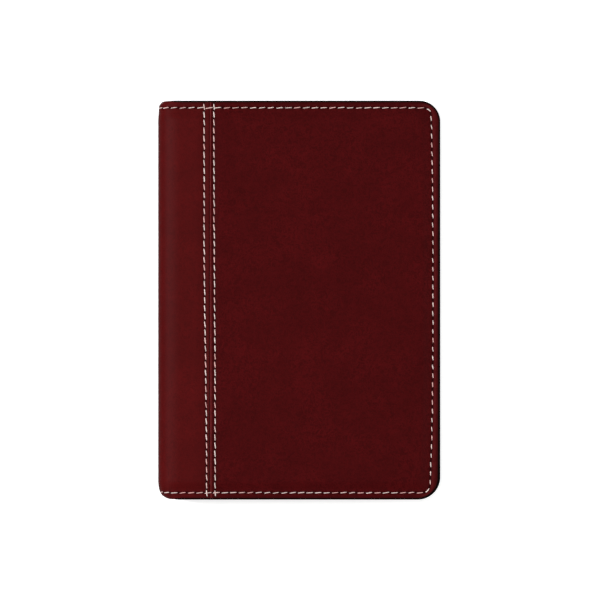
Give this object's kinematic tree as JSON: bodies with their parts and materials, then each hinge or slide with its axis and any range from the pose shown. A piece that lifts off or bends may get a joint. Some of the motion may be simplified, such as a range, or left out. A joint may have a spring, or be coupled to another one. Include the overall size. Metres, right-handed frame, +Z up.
{
  "type": "diary",
  "caption": "Pocket diary in a padded leather cover with a rounded spine strip, contrast stitching round the edge and along the seam, and sewn page sections that open flat.",
  "frame": {"origin": "under the middle of the closed diary, on the surface that its back cover rests on", "axes": "+X from the spine to the fore edge, +Y from tail to head, +Z up out of the front cover"},
  "size_m": [0.109, 0.154, 0.0174],
  "materials": {
    "panel_leather": "fine grained burgundy leather, soft satin",
    "strip_leather": "smooth burgundy leather, semi gloss",
    "black_lining": "black lining leather with painted edge",
    "greyboard": "raw pressed board",
    "padding": "thin foam felt",
    "paper": "uncoated cream paper",
    "endpaper": "uncoated dark red paper",
    "cloth": "open-weave bookbinding cloth",
    "band": "woven silk band"
  },
  "bodies": {
    "back_cover": {"back_panel_leather": "panel_leather", "back_spine_flap": "strip_leather", "back_padding": "padding", "back_board": "greyboard", "back_lining": "black_lining", "back_pastedown": "endpaper"},
    "spine": {"spine_leather": "strip_leather", "spine_card": "greyboard", "spine_cloth": "cloth", "sewn_folds": "paper", "head_band": "band", "tail_band": "band"},
    "front_cover": {"front_panel_leather": "panel_leather", "front_spine_flap": "strip_leather", "front_padding": "padding", "front_board": "greyboard", "front_lining": "black_lining", "front_pastedown": "endpaper"},
    "section_01": {"front_flyleaf": "endpaper", "section_01": "paper"},
    "section_02": {"section_02": "paper"},
    "section_03": {"section_03": "paper"},
    "section_04": {"section_04": "paper"},
    "section_05": {"section_05": "paper"},
    "section_06": {"section_06": "paper"},
    "section_07": {"section_07": "paper"},
    "section_08": {"section_08": "paper"},
    "section_09": {"section_09": "paper"},
    "section_10": {"section_10": "paper"},
    "section_11": {"section_11": "paper"},
    "section_12": {"section_12": "paper", "back_flyleaf": "endpaper"}
  },
  "joints": [
    {"name": "back_hinge", "type": "hinge", "parent": "back_cover", "child": "spine", "pos_m": [-0.05215, 0, 0.00249], "axis": [0, -1, 0], "range_deg": [0, 90]},
    {"name": "front_hinge", "type": "hinge", "parent": "spine", "child": "front_cover", "pos_m": [-0.05215, 0, 0.0149], "axis": [0, -1, 0], "range_deg": [0, 90]},
    {"name": "section_01_fold", "type": "hinge", "parent": "spine", "child": "section_01", "pos_m": [-0.05121, 0, 0.01397], "axis": [0, -1, 0], "range_deg": [0, 90]},
    {"name": "section_02_fold", "type": "hinge", "parent": "spine", "child": "section_02", "pos_m": [-0.05025, 0, 0.01301], "axis": [0, -1, 0], "range_deg": [0, 90]},
    {"name": "section_03_fold", "type": "hinge", "parent": "spine", "child": "section_03", "pos_m": [-0.0493, 0, 0.01205], "axis": [0, -1, 0], "range_deg": [0, 90]},
    {"name": "section_04_fold", "type": "hinge", "parent": "spine", "child": "section_04", "pos_m": [-0.04834, 0, 0.01109], "axis": [0, -1, 0], "range_deg": [0, 90]},
    {"name": "section_05_fold", "type": "hinge", "parent": "spine", "child": "section_05", "pos_m": [-0.04738, 0, 0.01013], "axis": [0, -1, 0], "range_deg": [0, 90]},
    {"name": "section_06_fold", "type": "hinge", "parent": "spine", "child": "section_06", "pos_m": [-0.04642, 0, 0.00918], "axis": [0, -1, 0], "range_deg": [0, 90]},
    {"name": "section_07_fold", "type": "hinge", "parent": "spine", "child": "section_07", "pos_m": [-0.04642, 0, 0.00822], "axis": [0, 1, 0], "range_deg": [0, 90]},
    {"name": "section_08_fold", "type": "hinge", "parent": "spine", "child": "section_08", "pos_m": [-0.04738, 0, 0.00726], "axis": [0, 1, 0], "range_deg": [0, 90]},
    {"name": "section_09_fold", "type": "hinge", "parent": "spine", "child": "section_09", "pos_m": [-0.04834, 0, 0.0063], "axis": [0, 1, 0], "range_deg": [0, 90]},
    {"name": "section_10_fold", "type": "hinge", "parent": "spine", "child": "section_10", "pos_m": [-0.0493, 0, 0.00534], "axis": [0, 1, 0], "range_deg": [0, 90]},
    {"name": "section_11_fold", "type": "hinge", "parent": "spine", "child": "section_11", "pos_m": [-0.05025, 0, 0.00439], "axis": [0, 1, 0], "range_deg": [0, 90]},
    {"name": "section_12_fold", "type": "hinge", "parent": "spine", "child": "section_12", "pos_m": [-0.05121, 0, 0.00343], "axis": [0, 1, 0], "range_deg": [0, 90]}
  ],
  "couplings": [
    {"joint": "section_01_fold", "follows": "front_hinge", "ratio": 1},
    {"joint": "section_02_fold", "follows": "front_hinge", "ratio": 1},
    {"joint": "section_03_fold", "follows": "front_hinge", "ratio": 1},
    {"joint": "section_04_fold", "follows": "front_hinge", "ratio": 1},
    {"joint": "section_05_fold", "follows": "front_hinge", "ratio": 1},
    {"joint": "section_06_fold", "follows": "front_hinge", "ratio": 1},
    {"joint": "section_07_fold", "follows": "back_hinge", "ratio": 1},
    {"joint": "section_08_fold", "follows": "back_hinge", "ratio": 1},
    {"joint": "section_09_fold", "follows": "back_hinge", "ratio": 1},
    {"joint": "section_10_fold", "follows": "back_hinge", "ratio": 1},
    {"joint": "section_11_fold", "follows": "back_hinge", "ratio": 1},
    {"joint": "section_12_fold", "follows": "back_hinge", "ratio": 1}
  ]
}
